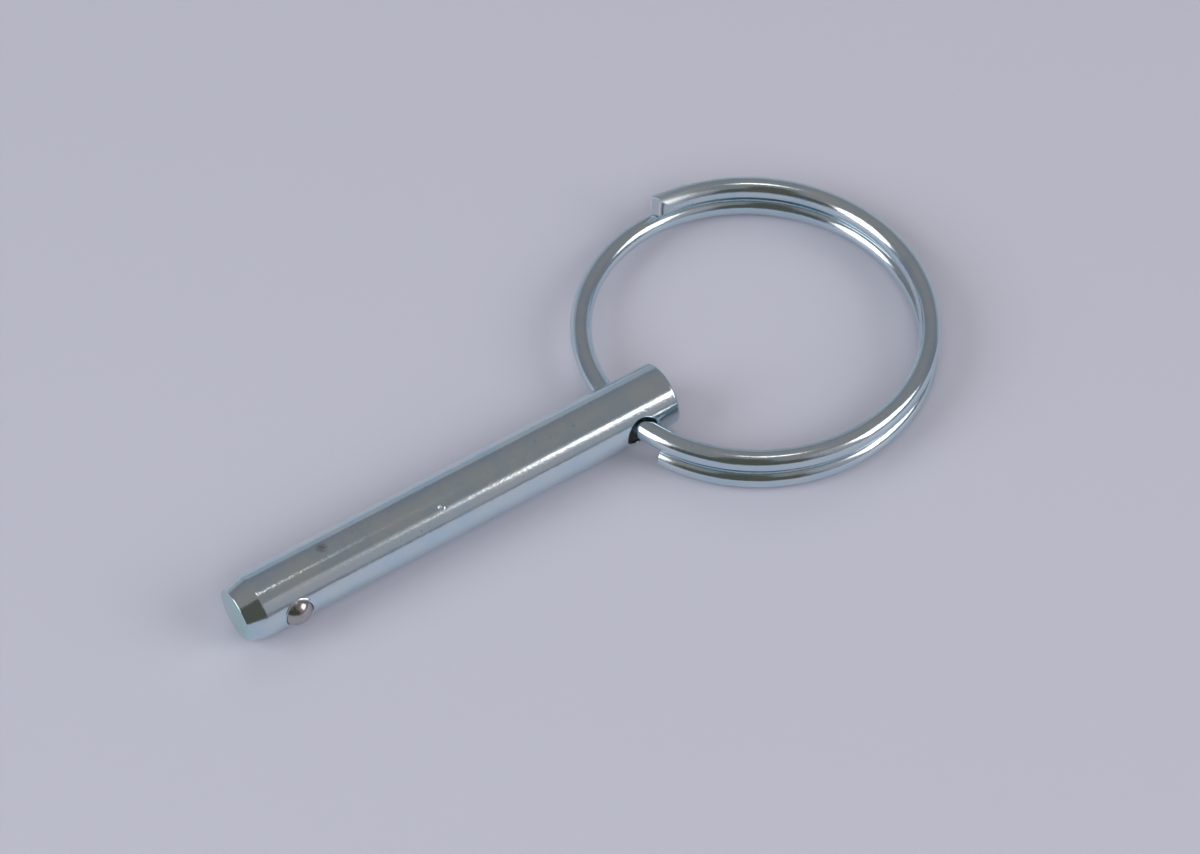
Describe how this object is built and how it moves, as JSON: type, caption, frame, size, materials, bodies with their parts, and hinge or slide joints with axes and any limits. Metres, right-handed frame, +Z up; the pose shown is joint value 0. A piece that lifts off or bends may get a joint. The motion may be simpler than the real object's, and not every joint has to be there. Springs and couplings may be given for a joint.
{
  "type": "quick-release detent pin",
  "caption": "Straight round pin with a tapered nose, a sprung detent ball near its tip and a split wire pull ring through a cross hole in its head.",
  "frame": {"origin": "on the shank's axis, halfway along the grip between the detent ball and the ring hole", "axes": "+X along the shank towards the head and ring, -Y the way the ball points, +Z up from the surface it lies on"},
  "size_m": [0.0579, 0.027, 0.0048],
  "materials": {
    "zinc_plated_shank": "bright zinc plate, satin along the shank",
    "ball_steel": "polished bearing steel",
    "spring_steel": "drawn wire",
    "zinc_plated_wire": "bright zinc plate"
  },
  "bodies": {
    "shank": {"shank": "zinc_plated_shank", "detent_spring": "spring_steel"},
    "ball": {"detent_ball": "ball_steel"},
    "ring": {"pull_ring": "zinc_plated_wire"}
  },
  "joints": [
    {"name": "ball_press", "type": "slide", "parent": "shank", "child": "ball", "axis": [0, 1, 0], "range_m": [0, 0.00055], "stiffness_N_per_m": 2000, "springref_m": -0.0004, "deforming": ["detent_spring"]},
    {"name": "ring_swing", "type": "hinge", "parent": "shank", "child": "ring", "pos_m": [0.01418, 0, 0], "axis": [0, -1, 0], "range_deg": [-167, 170]}
  ]
}
